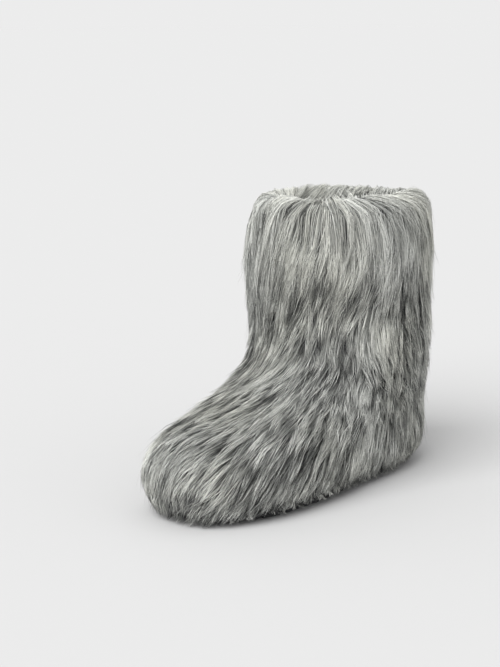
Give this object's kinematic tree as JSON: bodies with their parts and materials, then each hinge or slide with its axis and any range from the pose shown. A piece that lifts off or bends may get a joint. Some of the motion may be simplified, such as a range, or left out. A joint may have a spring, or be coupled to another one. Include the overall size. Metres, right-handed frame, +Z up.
{
  "type": "snow boot",
  "caption": "Pull-on snow boot for the left foot: long-pile fur outside folded over the collar, hollow cloth upper, rubber outsole with lugs.",
  "frame": {"origin": "on the floor, under the middle of the boot's bounding box", "axes": "+Z up, toe towards -Y, the wearer's outer side towards +X"},
  "size_m": [0.1596, 0.3108, 0.252],
  "materials": {
    "outsole_rubber": "matt black rubber, moulded",
    "insole_felt": "brushed felt",
    "upper_cloth": "knitted fur backing with a short brushed lining",
    "pile": "long straight pile, light grey tips over dark grey roots"
  },
  "bodies": {
    "root": {"outsole": "outsole_rubber", "insole": "insole_felt", "upper": "upper_cloth", "fur": "pile"}
  },
  "joints": []
}
